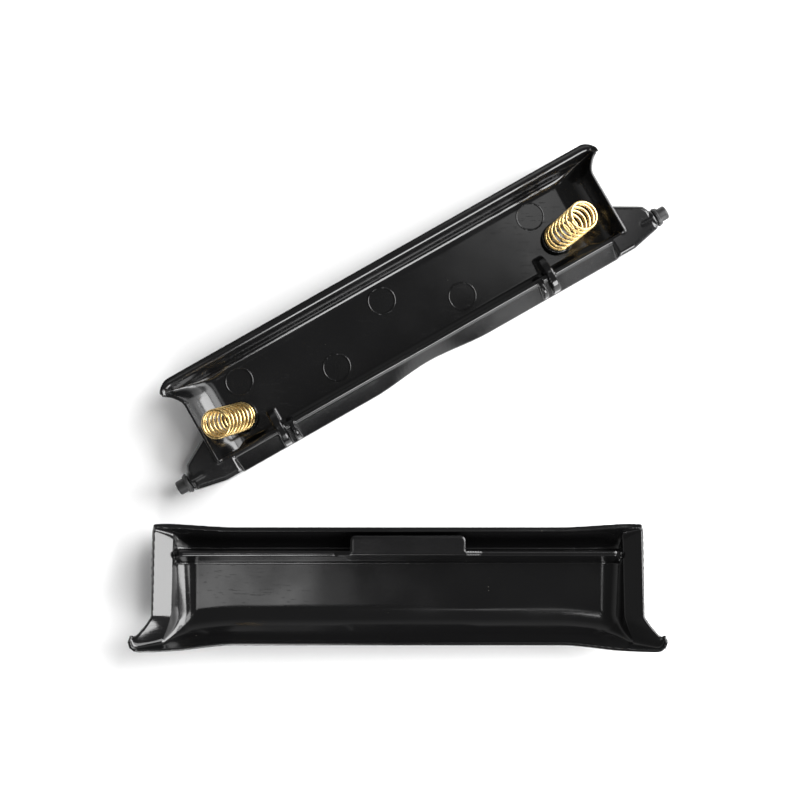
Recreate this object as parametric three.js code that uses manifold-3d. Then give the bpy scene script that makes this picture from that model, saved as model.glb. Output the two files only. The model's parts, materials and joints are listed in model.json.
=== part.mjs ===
// Sprung grip handle, laid open with its inner sides up: a flap that turns on two end pins
// against two compression springs, and the fixed grip shell that the flap nests in.
// Millimetres, +Z up. Both mouldings rest on z = 0. In each moulding's own frame u runs along
// its length, v runs across it and w is the height above the surface it lies on.
import * as THREE from "three";
import { mergeVertices } from "three/addons/utils/BufferGeometryUtils.js";
import Module from "manifold-3d";

// ---- Driving dimensions ----
const FIT_GAP = 0.3; // between pieces that touch
const OVERRUN = 1; // how far a cutter goes past the face that it cuts
const LEAN = 0.95; // share of a quarter turn that a wall has made when it reaches its rim
const BLEND = 3; // difference in height over which two walls blend where they meet
const FLARE_POWER = 1.3; // how late the grip shell's ends flare out towards the lip

// Flap: v = 0 is the pivot line, +v points to the lip.
const FLAP = {
  waistLength: 140.8, // over the end walls
  flare: 5.6, // how far each end of the lip stands out past the end walls
  wall: 1.8,
  rim: 0.9, // the end walls thin out to this at their rims
  endHeight: 9.4, // of the end walls' inner face above the floor
  endRun: 10.5, // length of the curve from floor to end rim
  flareStart: 20.4, // v where the end walls start to flare
  lipCurveStart: 23.2, // v where the floor starts to curve up
  lipRadius: 3, // of that curve
  lipTurn: 80, // degrees that it turns through
  lipStraight: 5.6, // height of the straight wall above the curve
  lipCorner: 4.5, // radius in plan at the lip's ends
  flangeRadius: 1.7, // of the outward roll at the lip
  flangeFlat: 1.2, // flat edge beyond the roll
};
const INSIDE_SHIFT = -2.5; // of the lugs and springs from being even about mid length
// Hinge wall of the flap, under and in front of the spine.
const HINGE = {
  pivotHeight: 6,
  spineHeight: 9,
  spineInner: 1.4, // v of the spine's inner face
  spineThickness: 1.6,
  outerEdge: 5.1, // how far the wall reaches in front of the pivot line
  edgeLow: 2.2, // height of the front edge's underside
  edgeHigh: 3.1, // height of the front edge's top corner
  edgeRound: 0.3,
  edgeWall: 2.4, // from the front edge to the hollow underneath
  crown: 0.5, // rounding of the spine's top
  wall: 1.6,
  foot: 1.2, // rounding where the spine meets the floor
  footStart: -0.7, // v where the flat underside starts
  saddleWidth: 40, // finger relief at mid length
  saddleDepth: 1.5,
  saddleDrop: 0.9,
};
// Tapered end block that carries a pin, and the pin.
const GUSSET = {
  inner: 5.5, // how far the block runs in past the waist
  rise: 9.8, // v where its diagonal meets the waist
  tip: 9, // length beyond the waist
  tipHalf: 3.2,
  shoulder: 1.6,
  bevel: 0.8,
  bossWall: 0.7, // of the boss round the pin's bore
  bossLength: 4,
  bossStep: 0.8, // how far the boss stands out past the tip
  bossChamfer: 0.4,
};
const PIN = { radius: 2.15, exposed: 4.4, seated: 6, chamfer: 0.6, bore: 0.25 };
// The collar's walls are outside the pin's clearance.
const COLLAR = { wall: 0.55, width: 0.9, lipWall: 0.3, lipWidth: 0.4 };
const LUG = {
  inset: 23.9, // distance in from the flap's end
  thickness: 2.2,
  reach: 7.2, // how far it runs onto the floor side
  height: 11.2,
  roundness: 0.7, // of the fin's outline: 1 is a half ellipse, and less is fuller
  stepGap: 2.6,
  stepThickness: 1.3,
  stepReach: 2.5,
  stepHeight: 9.6,
};
const SPRING = {
  outer: 9, // outside diameter
  wire: 0.9,
  turns: 8.5,
  closedTurns: 1, // close-wound at each end
  closedGap: 0.12, // between those turns
  freeLength: 22,
  inset: 15.8, // base centre in from the flap's end
  across: 9.6, // base centre from the pivot line
  lean: 19, // degrees, outwards
};
const SEAT = {
  margin: 0.2, // past the spring, all round
  taper: 1, // how much narrower its foot is
  sink: 2.4, // how far its foot goes down into the floor
  lift: 0.1, // of its low side above the floor
  spigotHeight: 2.6,
  spigotChamfer: 0.5,
};
const MARK = { radius: 4.2, depth: 0.15 }; // ejector pin marks on the flap's floor
const MARK_ROWS = { nearLip: 19.6, nearHinge: 8.7 };
const END_MARKS = { left: 17.4, right: 21.8 }; // in from each end of the flap
const MIDDLE_MARKS = { nearLip: [-3.4], nearHinge: [-25.2, 18.6] }; // from mid length

// Grip shell: v = 0 is the ledge's top line, +v points to its narrow rim.
const SHELL = {
  waistLength: 146.4, // over the end walls
  flare: 6.5, // how far each end of the lip stands out past the end walls
  wall: 1.9,
  rim: 0.9, // the walls thin out to this at their rims
  rimHeight: 7, // narrow rim's inner face above the floor
  land: 5.2, // width of the sloping land inside each end's rim
  landDrop: 3.6, // how far it slopes down
  endRun: 7, // length of the curve from the floor to that land
  rimAt: 6.6, // v of the narrow rim at mid length
  rimSweep: 1.2, // how much further out it is at the ends
  rimRun: 7,
  lipAt: 26.8, // how far the lip is from the ledge at mid length
  lipSweep: 2.2, // how much further out it is at the ends
  lipRun: 10.6,
  lipHeight: 10.5,
  lipCorner: 2.5, // radius in plan at the lip's ends
  flareStart: 19.1,
  sweepLength: 26, // length over which rim and lip sweep out at each end
};
const LEDGE = {
  endGap: 6.9, // from each end of the grip shell
  top: 1.2,
  foot: 3.3,
  footHeight: 0.6,
  height: 8.2,
  chamfer: 0.4,
  endRadius: 2,
  bury: 0.4, // how far the ledge's wall widens down to the floor
};
const TAB = {
  centre: 3,
  length: 34.3,
  reach: 4.6,
  thickness: 1.5,
  cornerRadius: 1.4,
  footLength: 6,
};
// How the two mouldings lie beside each other.
const LAYOUT = { flapTurn: 29.7, flapAcross: 7.7, flapUp: 14.6, shellDown: 45.7 };

// ---- Solids ----
const wasm = await Module();
wasm.setup();

/** A closed geometry as a manifold solid, with faces that collapsed left out. */
function toSolid(geometry) {
  const bare = geometry.index ? geometry.toNonIndexed() : geometry.clone();
  bare.deleteAttribute("normal");
  bare.deleteAttribute("uv");
  const merged = mergeVertices(bare, 1e-4);
  const index = merged.index.array;
  const kept = [];
  for (let i = 0; i < index.length; i += 3) {
    const [a, b, c] = [index[i], index[i + 1], index[i + 2]];
    if (a !== b && b !== c && c !== a) kept.push(a, b, c);
  }
  const vertProperties = merged.attributes.position.array;
  return new wasm.Manifold(new wasm.Mesh({ numProp: 3, vertProperties, triVerts: new Uint32Array(kept) }));
}

/** A manifold solid back as a geometry with flat faces. */
function toGeometry(solid) {
  const { vertProperties, triVerts } = solid.getMesh();
  const geometry = new THREE.BufferGeometry();
  geometry.setAttribute("position", new THREE.BufferAttribute(vertProperties, 3));
  geometry.setIndex(new THREE.BufferAttribute(triVerts, 1));
  const flat = geometry.toNonIndexed();
  flat.computeVertexNormals();
  return flat;
}

/** A closed geometry from points and triangles, turned so that its faces point out. */
function closedGeometry(points, triangles) {
  let volume = 0;
  for (const [a, b, c] of triangles) volume += points[a].dot(points[b].clone().cross(points[c]));
  const facing = volume < 0 ? triangles.map(([a, b, c]) => [a, c, b]) : triangles;
  const geometry = new THREE.BufferGeometry().setFromPoints(points);
  geometry.setIndex(facing.flat());
  return geometry;
}

/**
 * A sheet with thickness between two matching grids of points. Each face is split from its corner
 * nearest the lip's end, where the sheet bends most: the lip is at the grid's last or first column.
 */
function sheetBetween(inner, outer, lipLast) {
  const rows = inner.length;
  const columns = inner[0].length;
  const points = [...inner.flat(), ...outer.flat()];
  const at = (side, i, j) => side * rows * columns + i * columns + j;
  const triangles = [];
  const quad = (a, b, c, d) => triangles.push([a, b, c], [a, c, d]);
  for (let i = 0; i + 1 < rows; i += 1) {
    const onRight = i >= (rows - 1) / 2;
    for (let j = 0; j + 1 < columns; j += 1) {
      const [a, b, c, d] = [at(0, i, j), at(0, i + 1, j), at(0, i + 1, j + 1), at(0, i, j + 1)];
      const below = rows * columns;
      if (onRight === lipLast) {
        quad(a, b, c, d);
        quad(a + below, d + below, c + below, b + below);
      } else {
        quad(b, c, d, a);
        quad(b + below, a + below, d + below, c + below);
      }
    }
    quad(at(0, i, 0), at(1, i, 0), at(1, i + 1, 0), at(0, i + 1, 0));
    const last = columns - 1;
    quad(at(0, i, last), at(0, i + 1, last), at(1, i + 1, last), at(1, i, last));
  }
  for (let j = 0; j + 1 < columns; j += 1) {
    quad(at(0, 0, j), at(0, 0, j + 1), at(1, 0, j + 1), at(1, 0, j));
    const last = rows - 1;
    quad(at(0, last, j), at(1, last, j), at(1, last, j + 1), at(0, last, j + 1));
  }
  return toSolid(closedGeometry(points, triangles));
}

/** A solid through closed (v, w) profiles, one at each u station. */
function loft(stations, profileAt) {
  const contour = profileAt(stations[0]).map(([v, w]) => new THREE.Vector2(v, w));
  const clockwise = THREE.ShapeUtils.isClockWise(contour);
  if (clockwise) contour.reverse();
  const rings = stations.map((u) => {
    const ring = profileAt(u).map(([v, w]) => new THREE.Vector3(u, v, w));
    return clockwise ? ring.reverse() : ring;
  });
  const size = contour.length;
  const triangles = [];
  for (let i = 0; i + 1 < rings.length; i += 1) {
    for (let j = 0; j < size; j += 1) {
      const next = (j + 1) % size;
      const [a, b] = [i * size + j, i * size + next];
      triangles.push([a, b, b + size], [a, b + size, a + size]);
    }
  }
  for (const [a, b, c] of THREE.ShapeUtils.triangulateShape(contour, [])) {
    const top = (rings.length - 1) * size;
    triangles.push([a, c, b], [a + top, b + top, c + top]);
  }
  return toSolid(closedGeometry(rings.flat(), triangles));
}

/** The same (v, w) outline from one u to another. */
function bar(from, to, outline) {
  return loft([from, to], () => outline);
}

/** An upright prism over a (u, v) outline, with its edges bevelled inwards. */
function prism(outline, low, high, bevel = 0) {
  const shape = new THREE.Shape(outline.map(([u, v]) => new THREE.Vector2(u, v)));
  const geometry = new THREE.ExtrudeGeometry(shape, {
    depth: high - low - 2 * bevel,
    bevelEnabled: bevel > 0,
    bevelThickness: bevel,
    bevelSize: bevel,
    bevelOffset: -bevel,
    bevelSegments: 1,
  });
  return toSolid(geometry.translate(0, 0, low + bevel));
}

/** A turned solid along u from (distance, radius) steps, its axis over v = 0 at a height w. */
function turned(steps, w, sides = 24) {
  const profile = steps.map(([distance, radius]) => new THREE.Vector2(radius, distance));
  const geometry = new THREE.LatheGeometry(profile, sides);
  geometry.rotateZ(-Math.PI / 2);
  return closedAlong(geometry.translate(0, 0, w));
}

/** A lathe's geometry as a solid, whichever way its profile ran. */
function closedAlong(geometry) {
  const merged = mergeVertices(geometry.clone().deleteAttribute("uv").deleteAttribute("normal"), 1e-4);
  const points = [];
  for (let i = 0; i < merged.attributes.position.count; i += 1) {
    points.push(new THREE.Vector3().fromBufferAttribute(merged.attributes.position, i));
  }
  const triangles = [];
  for (let i = 0; i < merged.index.count; i += 3) {
    triangles.push([merged.index.getX(i), merged.index.getX(i + 1), merged.index.getX(i + 2)]);
  }
  return toSolid(closedGeometry(points, triangles));
}

const joined = (solids) => solids.reduce((sum, solid) => sum.add(solid));
const smooth = (t) => t * t * (3 - 2 * t);
const clamp01 = (t) => Math.min(1, Math.max(0, t));

/** Both mirror images of a solid that is made for the +u end, moved along by a shift. */
function bothEnds(solid, shift = 0) {
  return [solid, solid.mirror([1, 0, 0])].map((end) => end.translate([shift, 0, 0]));
}

// ---- Trough surfaces ----

/** Height of a wall's inner face at a distance in from its rim: a curve from floor to rim. */
function wallRise(distance, run, rise) {
  const x = clamp01(1 - distance / run) * LEAN;
  return (rise * (1 - Math.sqrt(1 - x * x))) / (1 - Math.sqrt(1 - LEAN * LEAN));
}

/** The larger of two heights, blended where they are close and both off the floor. */
function blendedHeight(a, b) {
  const reach = Math.min(BLEND, a + b);
  if (reach <= 0) return 0;
  const near = Math.max(reach - Math.abs(a - b), 0) / reach;
  return Math.max(a, b) + (near * near * reach) / 4;
}

/** Distances from mid length to the rim, close together on the end wall's curve. */
function endSpacing(half, run, onWall, onFloor) {
  const distances = [];
  for (let i = 0; i < onFloor; i += 1) {
    distances.push(((half - run) * i) / onFloor);
  }
  for (let i = 0; i <= onWall; i += 1) {
    const angle = Math.asin(LEAN) * (i / onWall);
    distances.push(half - run + (run * Math.sin(angle)) / LEAN);
  }
  return [...distances.slice(1).map((d) => -d).reverse(), ...distances];
}

/** A grid's entry, with places past its edges held at the edge. */
function heldAt(grid, i, j) {
  const row = Math.min(grid.length - 1, Math.max(0, i));
  const column = Math.min(grid[0].length - 1, Math.max(0, j));
  return grid[row][column];
}

/** The upward normal at each point of a grid, averaged with its neighbours'. */
function gridNormals(grid) {
  const sharp = grid.map((line, i) =>
    line.map((_, j) => {
      const along = heldAt(grid, i + 1, j).clone().sub(heldAt(grid, i - 1, j));
      const across = heldAt(grid, i, j + 1).clone().sub(heldAt(grid, i, j - 1));
      return along.cross(across).normalize();
    }),
  );
  return sharp.map((line, i) =>
    line.map((normal, j) => {
      const sum = normal.clone().multiplyScalar(2);
      for (const [di, dj] of [[1, 0], [-1, 0], [0, 1], [0, -1]]) sum.add(heldAt(sharp, i + di, j + dj));
      return sum.normalize();
    }),
  );
}

/** The inner grid moved out along its normals by the wall's thickness there, from its wall to its rim. */
function offsetGrid(grid, { wall, rim }, riseAt) {
  const normals = gridNormals(grid);
  return grid.map((line, i) =>
    line.map((point, j) => {
      const thickness = wall - (wall - rim) * clamp01(riseAt(point)) ** 2;
      return point.clone().addScaledVector(normals[i][j], -thickness);
    }),
  );
}

/** How far a plan corner of a radius falls back from the straight edge, near the edge's far end. */
function cornerBack(along, end, radius) {
  const past = clamp01((Math.abs(along) - end + radius) / radius);
  return radius * (1 - Math.sqrt(1 - past * past));
}

// ---- Flap ----

/** The flap's inner section as (v, height): floor, curve up, wall, roll outwards and flat edge. */
function lipSection() {
  const points = [];
  const start = HINGE.spineInner - HINGE.spineThickness / 2;
  for (const share of [0, 0.33, 0.66]) {
    points.push([start + (FLAP.lipCurveStart - start) * share, 0]);
  }
  const turn = THREE.MathUtils.degToRad(FLAP.lipTurn);
  const curveSteps = 5;
  for (let i = 0; i <= curveSteps; i += 1) {
    const angle = (turn * i) / curveSteps;
    const v = FLAP.lipCurveStart + FLAP.lipRadius * Math.sin(angle);
    points.push([v, FLAP.lipRadius * (1 - Math.cos(angle))]);
  }
  const [curveV, curveW] = points.at(-1);
  const straightRun = FLAP.lipStraight / Math.tan(turn);
  for (const share of [0.5, 1]) {
    points.push([curveV + straightRun * share, curveW + FLAP.lipStraight * share]);
  }
  const [topV, topW] = points.at(-1);
  const centreV = topV + FLAP.flangeRadius * Math.sin(turn);
  const centreW = topW - FLAP.flangeRadius * Math.cos(turn);
  const rollSteps = 4;
  for (let i = 1; i <= rollSteps; i += 1) {
    const angle = turn * (1 - i / rollSteps);
    const v = centreV - FLAP.flangeRadius * Math.sin(angle);
    points.push([v, centreW + FLAP.flangeRadius * Math.cos(angle)]);
  }
  points.push([points.at(-1)[0] + FLAP.flangeFlat, points.at(-1)[1]]);
  return points;
}

/** The floor, end walls and rolled lip of the flap as one sheet. */
function flapPan() {
  const section = lipSection();
  const edge = section.at(-1)[0];
  const half = FLAP.waistLength / 2 - FLAP.rim;
  const inner = endSpacing(half, FLAP.endRun, 6, 5).map((u) =>
    section.map(([v, lipHeight]) => {
      const out = smooth(clamp01((v - FLAP.flareStart) / (edge - FLAP.flareStart)));
      const endHeight = wallRise(half - Math.abs(u), FLAP.endRun, FLAP.endHeight);
      const onWall = clamp01((Math.abs(u) - half + FLAP.endRun) / FLAP.endRun);
      const along = u + Math.sign(u) * FLAP.flare * out * onWall;
      const back = out * cornerBack(along, half + FLAP.flare, FLAP.lipCorner);
      return new THREE.Vector3(along, v - back, FLAP.wall + blendedHeight(lipHeight, endHeight));
    }),
  );
  const endShare = ({ x }) => wallRise(half - Math.abs(x), FLAP.endRun, 1);
  return sheetBetween(inner, offsetGrid(inner, FLAP, endShare), true);
}

/** How far the finger relief is cut at a distance from mid length, from 0 to 1. */
function saddle(u) {
  return smooth(clamp01(1 - Math.abs(u) / (HINGE.saddleWidth / 2)));
}

/** Stations along the hinge wall, close together through the finger relief. */
function hingeStations(half) {
  const stations = [];
  const relief = HINGE.saddleWidth / 2;
  const steps = 6;
  for (let i = -steps; i <= steps; i += 1) {
    stations.push((relief * i) / steps);
  }
  return [-half, ...stations, half];
}

/** The spine and the sloping wall in front of it, hollow underneath. */
function hingeWall() {
  const half = FLAP.waistLength / 2;
  const back = HINGE.spineInner;
  const front = back - HINGE.spineThickness;
  const solid = loft(hingeStations(half), (u) => {
    const edge = -(HINGE.outerEdge - HINGE.saddleDepth * saddle(u));
    const top = HINGE.spineHeight - HINGE.saddleDrop * saddle(u);
    return [
      [back + HINGE.foot, 0],
      [HINGE.footStart, 0],
      [edge + HINGE.edgeRound, HINGE.edgeLow],
      [edge, HINGE.edgeLow + HINGE.edgeRound],
      [edge, HINGE.edgeHigh],
      [front, top - HINGE.crown],
      [front + HINGE.crown, top],
      [back - HINGE.crown / 2, top],
      [back, top - HINGE.crown / 2],
      [back, FLAP.wall + HINGE.foot],
      [back + HINGE.foot, FLAP.wall],
    ];
  });
  const hollow = loft(hingeStations(half - GUSSET.inner), (u) => {
    const edge = -(HINGE.outerEdge - HINGE.edgeWall - HINGE.saddleDepth * saddle(u));
    const top = HINGE.spineHeight - 2 * HINGE.wall - HINGE.saddleDrop * saddle(u);
    return [
      [front, -OVERRUN],
      [front, top],
      [front - HINGE.edgeRound, top],
      [edge, HINGE.edgeHigh],
      [edge, -OVERRUN],
    ];
  });
  return solid.subtract(hollow);
}

/** Where the boss ends: the pin's collar seats against it. */
const bossEnd = FLAP.waistLength / 2 + GUSSET.tip + GUSSET.bossStep;
/** Radius of the clearance hole round a pin. */
const pinHole = PIN.radius + PIN.bore;

/** Tapered block at the +u end, cored out underneath, with the boss that holds the pin. */
function gusset() {
  const waist = FLAP.waistLength / 2;
  const tip = waist + GUSSET.tip;
  const outline = [
    [waist - GUSSET.inner, -HINGE.outerEdge],
    [waist, -HINGE.outerEdge],
    [tip, -GUSSET.tipHalf],
    [tip, GUSSET.tipHalf],
    [tip - GUSSET.shoulder / 2, GUSSET.tipHalf + GUSSET.shoulder],
    [waist - FLAP.rim / 2, GUSSET.rise],
    [waist - FLAP.wall, GUSSET.rise],
    [waist - FLAP.wall, HINGE.spineInner],
    [waist - GUSSET.inner, HINGE.spineInner],
  ];
  const block = prism(outline, HINGE.edgeLow, HINGE.spineHeight, GUSSET.bevel);
  const radius = pinHole + GUSSET.bossWall;
  const steps = [
    [tip - GUSSET.bossLength, 0],
    [tip - GUSSET.bossLength, radius],
    [bossEnd - GUSSET.bossChamfer, radius],
    [bossEnd, radius - GUSSET.bossChamfer],
    [bossEnd, 0],
  ];
  return block.add(turned(steps, HINGE.pivotHeight));
}

/** The clearance hole for a pin at the +u end. */
function pinBore() {
  const start = bossEnd - PIN.seated - FIT_GAP;
  const end = bossEnd + OVERRUN;
  const steps = [
    [start, 0],
    [start, pinHole],
    [end, pinHole],
    [end, 0],
  ];
  return turned(steps, HINGE.pivotHeight);
}

/** A rounded fin across the spine at the +u side, and the lower step beside it. */
function lug() {
  const fin = finOutline(LUG.height, LUG.reach);
  const step = finOutline(LUG.stepHeight, LUG.stepReach);
  const at = FLAP.waistLength / 2 - LUG.inset;
  const stepAt = at - LUG.thickness / 2 - LUG.stepGap;
  return bar(at - LUG.thickness / 2, at + LUG.thickness / 2, fin).add(
    bar(stepAt - LUG.stepThickness / 2, stepAt + LUG.stepThickness / 2, step),
  );
}

/** A fin's (v, w) outline: down the hinge wall in front, over the spine, onto the floor behind. */
function finOutline(height, reach) {
  const middle = (reach - HINGE.outerEdge) / 2;
  const span = (reach + HINGE.outerEdge) / 2;
  const rise = height - HINGE.edgeHigh;
  const points = [
    [reach, FLAP.wall / 2],
    [-HINGE.wall, HINGE.edgeHigh],
    [-HINGE.outerEdge, HINGE.edgeHigh],
  ];
  const steps = 9;
  for (let i = 1; i <= steps; i += 1) {
    const angle = Math.PI * (1 - i / steps);
    const up = rise * Math.sin(angle) ** LUG.roundness;
    points.push([middle + span * Math.cos(angle), HINGE.edgeHigh + up]);
  }
  return points;
}

const springLean = THREE.MathUtils.degToRad(SPRING.lean);
const springAt = FLAP.waistLength / 2 - SPRING.inset;
const seatRadius = SPRING.outer / 2 + SEAT.margin;
/** Height of the tilted seat's centre, so that its low side still stands off the floor. */
const seatHeight = FLAP.wall + seatRadius * Math.sin(springLean) + SEAT.lift;

/** Turns and moves a geometry made around the w axis to the +u spring's place and lean. */
function atSpringBase(geometry, height) {
  return geometry.rotateY(springLean).translate(springAt, SPRING.across, height);
}

/** The tilted seat of the +u spring, with the spigot that centres it. */
function springSeat() {
  const spigot = SPRING.outer / 2 - SPRING.wire - FIT_GAP;
  const profile = [
    [0, -SEAT.sink],
    [seatRadius - SEAT.taper, -SEAT.sink],
    [seatRadius, 0],
    [spigot, 0],
    [spigot, SEAT.spigotHeight - SEAT.spigotChamfer],
    [spigot - SEAT.spigotChamfer, SEAT.spigotHeight],
    [0, SEAT.spigotHeight],
  ];
  const points = profile.map(([radius, height]) => new THREE.Vector2(radius, height));
  const geometry = new THREE.LatheGeometry(points, 20).rotateX(Math.PI / 2);
  const solid = closedAlong(atSpringBase(geometry, seatHeight));
  const room = 4 * seatRadius;
  const aboveFloor = new THREE.BoxGeometry(room, room, room);
  aboveFloor.translate(springAt, SPRING.across, FLAP.wall / 2 + room / 2);
  return solid.intersect(toSolid(aboveFloor));
}

/** Where the ejector pins leave their marks, as (u, v). */
function markPlaces() {
  const half = FLAP.waistLength / 2;
  const nearLip = [END_MARKS.left - half, ...MIDDLE_MARKS.nearLip, half - END_MARKS.right];
  return [
    ...nearLip.map((u) => [u, MARK_ROWS.nearLip]),
    ...MIDDLE_MARKS.nearHinge.map((u) => [u, MARK_ROWS.nearHinge]),
  ];
}

/** The cutter for one shallow round mark on the floor. */
function ejectorMark([u, v]) {
  const geometry = new THREE.CylinderGeometry(MARK.radius, MARK.radius, 2 * OVERRUN, 28);
  geometry.rotateX(Math.PI / 2).translate(u, v, FLAP.wall - MARK.depth + OVERRUN);
  return toSolid(geometry);
}

function flapShell() {
  const inside = [lug(), springSeat()].flatMap((solid) => bothEnds(solid, INSIDE_SHIFT));
  const whole = joined([flapPan(), hingeWall(), ...bothEnds(gusset()), ...inside]);
  const cuts = [...markPlaces().map(ejectorMark), ...bothEnds(pinBore())];
  return cuts.reduce((solid, cut) => solid.subtract(cut), whole);
}

// ---- Pins and collars ----

/** A pivot pin at the +u end: plain shank with a chamfered nose. */
function pivotPin() {
  const tip = bossEnd + PIN.exposed;
  const steps = [
    [bossEnd - PIN.seated, 0],
    [bossEnd - PIN.seated, PIN.radius],
    [tip - PIN.chamfer, PIN.radius],
    [tip, PIN.radius - PIN.chamfer],
    [tip, 0],
  ];
  return turned(steps, HINGE.pivotHeight);
}

/** The thin stepped ring on the pin at the +u end, between the boss and the host's bearing. */
function pinCollar() {
  const start = bossEnd + FIT_GAP;
  const shoulder = start + COLLAR.width;
  const end = shoulder + COLLAR.lipWidth;
  const steps = [
    [start, pinHole],
    [start, pinHole + COLLAR.wall],
    [shoulder, pinHole + COLLAR.wall],
    [shoulder, pinHole + COLLAR.lipWall],
    [end, pinHole + COLLAR.lipWall],
    [end, pinHole],
    [start, pinHole],
  ];
  return turned(steps, HINGE.pivotHeight);
}

// ---- Springs ----

/** The centre line of a compression spring with close-wound ends, along w from 0. */
class SpringCurve extends THREE.Curve {
  getPoint(t, target = new THREE.Vector3()) {
    const radius = (SPRING.outer - SPRING.wire) / 2;
    const turn = SPRING.turns * t;
    const open = SPRING.turns - 2 * SPRING.closedTurns;
    const closedPitch = SPRING.wire + SPRING.closedGap;
    const closed = SPRING.closedTurns * closedPitch;
    const pitch = (SPRING.freeLength - SPRING.wire - 2 * closed) / open;
    const opened = Math.min(open, Math.max(0, turn - SPRING.closedTurns));
    const height = (turn - opened) * closedPitch + opened * pitch;
    const angle = 2 * Math.PI * turn;
    return target.set(radius * Math.cos(angle), radius * Math.sin(angle), height);
  }
}

/** The spring at the +u end, standing on its tilted seat. */
function returnSpring() {
  const section = new THREE.Shape();
  const sides = 6;
  for (let i = 0; i < sides; i += 1) {
    const angle = (2 * Math.PI * i) / sides;
    const point = [(SPRING.wire / 2) * Math.cos(angle), (SPRING.wire / 2) * Math.sin(angle)];
    if (i === 0) section.moveTo(...point);
    else section.lineTo(...point);
  }
  section.closePath();
  const geometry = new THREE.ExtrudeGeometry(section, {
    steps: Math.round(SPRING.turns * 12),
    bevelEnabled: false,
    extrudePath: new SpringCurve(),
  });
  geometry.translate(0, 0, FIT_GAP + SPRING.wire / 2);
  return toSolid(atSpringBase(geometry, seatHeight));
}

// ---- Grip shell ----

/** How far the rim and lip have swept out at a distance from mid length, from 0 to 1. */
function sweepAt(u) {
  const start = SHELL.waistLength / 2 - SHELL.sweepLength;
  return smooth(clamp01((Math.abs(u) - start) / SHELL.sweepLength));
}

/** The grip shell's floor, end walls, narrow rim and flared lip as one sheet. */
function shellPan() {
  const half = SHELL.waistLength / 2 - SHELL.rim;
  const flared = SHELL.land + SHELL.endRun / 2;
  const inner = shellStations(half).map((u) => {
    const rim = SHELL.rimAt + SHELL.rimSweep * sweepAt(u) - SHELL.rim;
    const lip = -(SHELL.lipAt + SHELL.lipSweep * sweepAt(u));
    const onWall = clamp01((Math.abs(u) - half + flared) / flared);
    return shellColumns(lip, rim).map((v) => {
      const out = clamp01((-SHELL.flareStart - v) / (SHELL.lipAt - SHELL.flareStart)) ** FLARE_POWER;
      const rimRise = wallRise(rim - v, SHELL.rimRun, SHELL.rimHeight);
      const lipRise = wallRise(v - lip, SHELL.lipRun, SHELL.lipHeight);
      const endRise = endLandRise(half - Math.abs(u), (v - lip) / (rim - lip));
      const height = blendedHeight(blendedHeight(rimRise, lipRise), endRise);
      const along = u + Math.sign(u) * SHELL.flare * out * onWall;
      const back = out * cornerBack(along, half + SHELL.flare, SHELL.lipCorner);
      return new THREE.Vector3(along, v + back, SHELL.wall + height);
    });
  });
  const rimShare = ({ z }) => (z - SHELL.wall) / SHELL.lipHeight;
  return sheetBetween(inner, offsetGrid(inner, SHELL, rimShare), false);
}

/** Height of an end's inner face at a distance in from its rim, and at a share from lip to narrow rim. */
function endLandRise(distance, share) {
  const top = SHELL.lipHeight + (SHELL.rimHeight - SHELL.lipHeight) * share;
  const foot = top - SHELL.landDrop;
  if (distance < SHELL.land) return top - (SHELL.landDrop * distance) / SHELL.land;
  return wallRise(distance - SHELL.land, SHELL.endRun, foot);
}

/** Stations along the grip shell, close together on the curve and land at each end. */
function shellStations(half) {
  const foot = half - SHELL.land - SHELL.endRun;
  const [onFloor, onCurve, onLand] = [8, 6, 3];
  const stations = [];
  for (let i = 0; i < onFloor; i += 1) {
    stations.push((foot * i) / onFloor);
  }
  for (let i = 0; i < onCurve; i += 1) {
    stations.push(foot + (SHELL.endRun * i) / onCurve);
  }
  for (let i = 0; i <= onLand; i += 1) {
    stations.push(half - SHELL.land + (SHELL.land * i) / onLand);
  }
  return [...stations.slice(1).map((u) => -u).reverse(), ...stations];
}

/** Places across the grip shell from lip to rim, close together on the two curved walls. */
function shellColumns(lip, rim) {
  const places = [];
  const wallSteps = 6;
  for (let i = wallSteps; i >= 0; i -= 1) {
    const angle = Math.asin(LEAN) * (i / wallSteps);
    places.push(lip + SHELL.lipRun - (SHELL.lipRun * Math.sin(angle)) / LEAN);
  }
  const floorStart = lip + SHELL.lipRun;
  const floorEnd = rim - SHELL.rimRun;
  for (const share of [0.33, 0.66]) places.push(floorStart + (floorEnd - floorStart) * share);
  for (let i = 0; i <= wallSteps; i += 1) {
    const angle = Math.asin(LEAN) * (i / wallSteps);
    places.push(floorEnd + (SHELL.rimRun * Math.sin(angle)) / LEAN);
  }
  return places;
}

/** The long ledge on the grip shell's floor, with rounded ends, standing on the floor as it rises. */
function ledge() {
  const half = SHELL.waistLength / 2 - LEDGE.endGap;
  const rimFace = SHELL.waistLength / 2 - SHELL.rim;
  const share = SHELL.lipAt / (SHELL.lipAt + SHELL.rimAt);
  const stations = [0, 0.9, 0.93, 0.96, 1].map((part) => part * half);
  return loft([...stations.slice(1).map((u) => -u).reverse(), ...stations], (u) => {
    const floor = endLandRise(rimFace - Math.abs(u), share);
    const top = LEDGE.height - LEDGE.endRadius * clamp01((Math.abs(u) - half) / LEDGE.endRadius + 1) ** 2;
    return [
      [LEDGE.bury, floor + SHELL.wall / 2],
      [0, top],
      [-LEDGE.top, top],
      [-LEDGE.top - LEDGE.chamfer, top - LEDGE.chamfer],
      [-LEDGE.foot, floor + SHELL.wall + LEDGE.footHeight],
      [-LEDGE.foot - LEDGE.footHeight, floor + SHELL.wall / 2],
    ];
  });
}

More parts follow.
